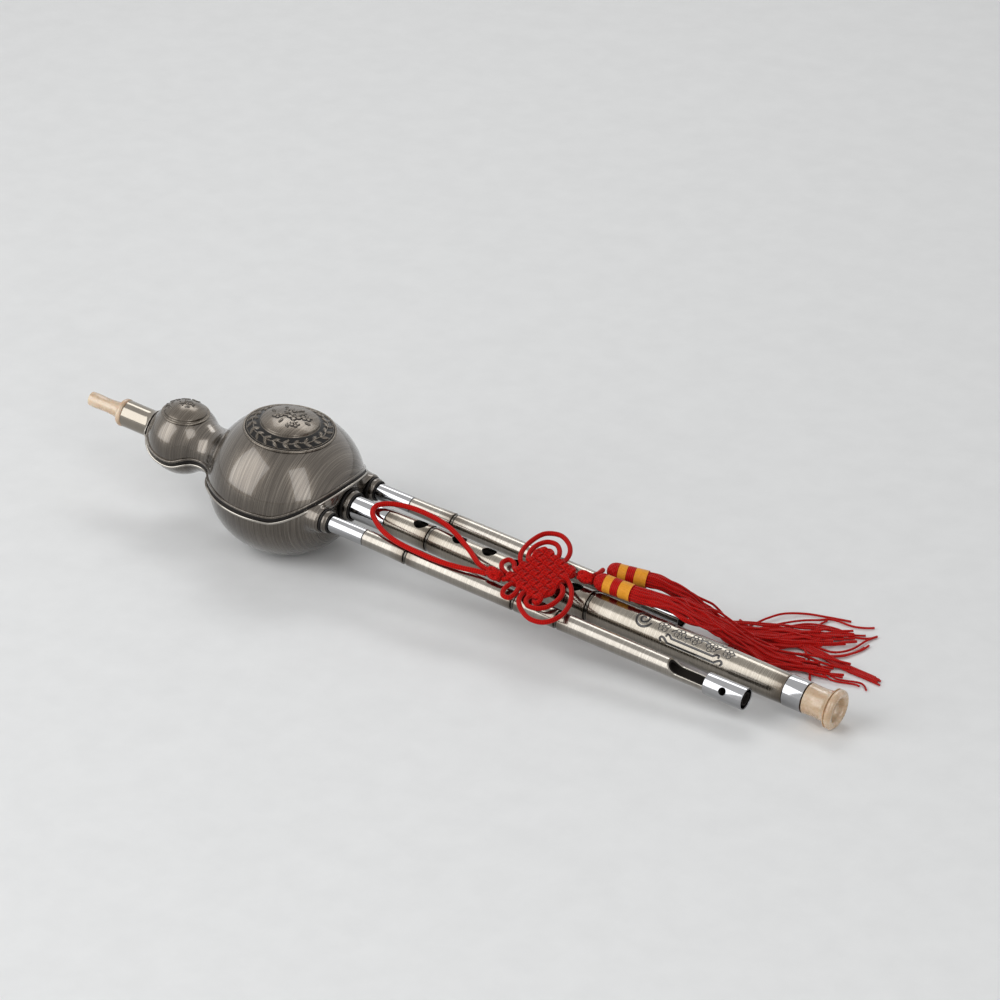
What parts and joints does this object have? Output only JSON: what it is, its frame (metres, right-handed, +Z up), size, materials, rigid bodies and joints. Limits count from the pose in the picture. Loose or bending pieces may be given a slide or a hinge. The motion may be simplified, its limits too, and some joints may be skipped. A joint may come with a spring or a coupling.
{
  "type": "gourd flute",
  "caption": "Gourd flute with a double-gourd wind chamber in two metal shells, a main pipe with finger holes, two drone pipes, a resin mouthpiece and end cap, and a red knotted charm.",
  "frame": {"origin": "on the ground, under the middle of the instrument's box without its charm", "axes": "+X from the mouthpiece towards the end cap, +Z up through the medallions, +Y towards the shorter drone pipe"},
  "size_m": [0.4286, 0.1189, 0.0705],
  "materials": {
    "resin": "satin, slightly translucent",
    "nickel": "brushed and lacquered antique nickel",
    "chrome": "polished",
    "black_seal": "matte",
    "cork": "cork",
    "brass": "thin rolled sheet",
    "liner": "dark bamboo",
    "red_cord": "satin cord and thread"
  },
  "bodies": {
    "gourd": {"lower_shell": "nickel", "upper_shell": "nickel", "seam_gasket": "black_seal", "large_medallion": "nickel", "small_medallion": "nickel", "pipe_seat": "liner", "main_socket_cork": "cork", "main_socket_ring": "black_seal", "main_socket_nut": "nickel", "main_socket_seal": "black_seal", "near_socket_cork": "cork", "near_socket_ring": "black_seal", "near_socket_nut": "nickel", "near_socket_seal": "black_seal", "far_socket_cork": "cork", "far_socket_ring": "black_seal", "far_socket_nut": "nickel", "far_socket_seal": "black_seal"},
    "mouthpiece": {"mouthpiece": "resin", "mouthpiece_cork": "cork"},
    "main_pipe": {"main_liner": "liner", "main_plug": "liner", "main_reed": "brass", "main_ferrule": "chrome", "main_section_1": "nickel", "main_section_2": "nickel", "main_section_3": "nickel", "main_node_ring_1": "chrome", "main_node_ring_2": "chrome", "main_end_ring": "chrome"},
    "end_cap": {"end_cap": "resin"},
    "near_drone": {"near_drone_liner": "liner", "near_drone_plug": "liner", "near_drone_reed": "brass", "near_drone_ferrule": "chrome", "near_drone_section_1": "nickel", "near_drone_section_2": "nickel", "near_drone_section_3": "nickel", "near_drone_section_4": "nickel"},
    "near_sleeve": {"near_drone_sleeve": "chrome"},
    "far_drone": {"far_drone_liner": "liner", "far_drone_plug": "liner", "far_drone_reed": "brass", "far_drone_ferrule": "chrome", "far_drone_section_1": "nickel", "far_drone_section_2": "nickel", "far_drone_section_3": "nickel", "far_drone_section_4": "nickel"},
    "far_sleeve": {"far_drone_sleeve": "chrome"},
    "charm": {"hanging_loop": "red_cord", "endless_knot": "red_cord", "left_button_knot": "red_cord", "right_button_knot": "red_cord", "parting_cord": "red_cord", "front_tassel_head": "red_cord", "back_tassel_head": "red_cord", "front_tassel_skirt": "red_cord", "back_tassel_skirt": "red_cord"}
  },
  "joints": [
    {"name": "mouthpiece_pull", "type": "slide", "parent": "gourd", "child": "mouthpiece", "axis": [-0.9963, 0, 0.0854], "range_m": [0, 0.012]},
    {"name": "main_pipe_tuning", "type": "slide", "parent": "gourd", "child": "main_pipe", "axis": [0.9963, 0, -0.0854], "range_m": [0, 0.01]},
    {"name": "near_drone_tuning", "type": "slide", "parent": "gourd", "child": "near_drone", "axis": [0.9963, 0, -0.0854], "range_m": [0, 0.01]},
    {"name": "far_drone_tuning", "type": "slide", "parent": "gourd", "child": "far_drone", "axis": [0.9963, 0, -0.0854], "range_m": [0, 0.01]},
    {"name": "end_cap_pull", "type": "slide", "parent": "main_pipe", "child": "end_cap", "axis": [0.9963, 0, -0.0854], "range_m": [0, 0.012]},
    {"name": "near_sleeve_turn", "type": "hinge", "parent": "near_drone", "child": "near_sleeve", "pos_m": [0.16594, -0.0195, 0.01359], "axis": [0.9963, 0, -0.0854], "range_deg": [0, 90]},
    {"name": "far_sleeve_turn", "type": "hinge", "parent": "far_drone", "child": "far_sleeve", "pos_m": [0.10865, 0.0195, 0.01851], "axis": [0.9963, 0, -0.0854], "range_deg": [-90, 0]},
    {"name": "charm_lift", "type": "slide", "parent": "gourd", "child": "charm", "axis": [0, 0, 1], "range_m": [0, 0.08]}
  ]
}
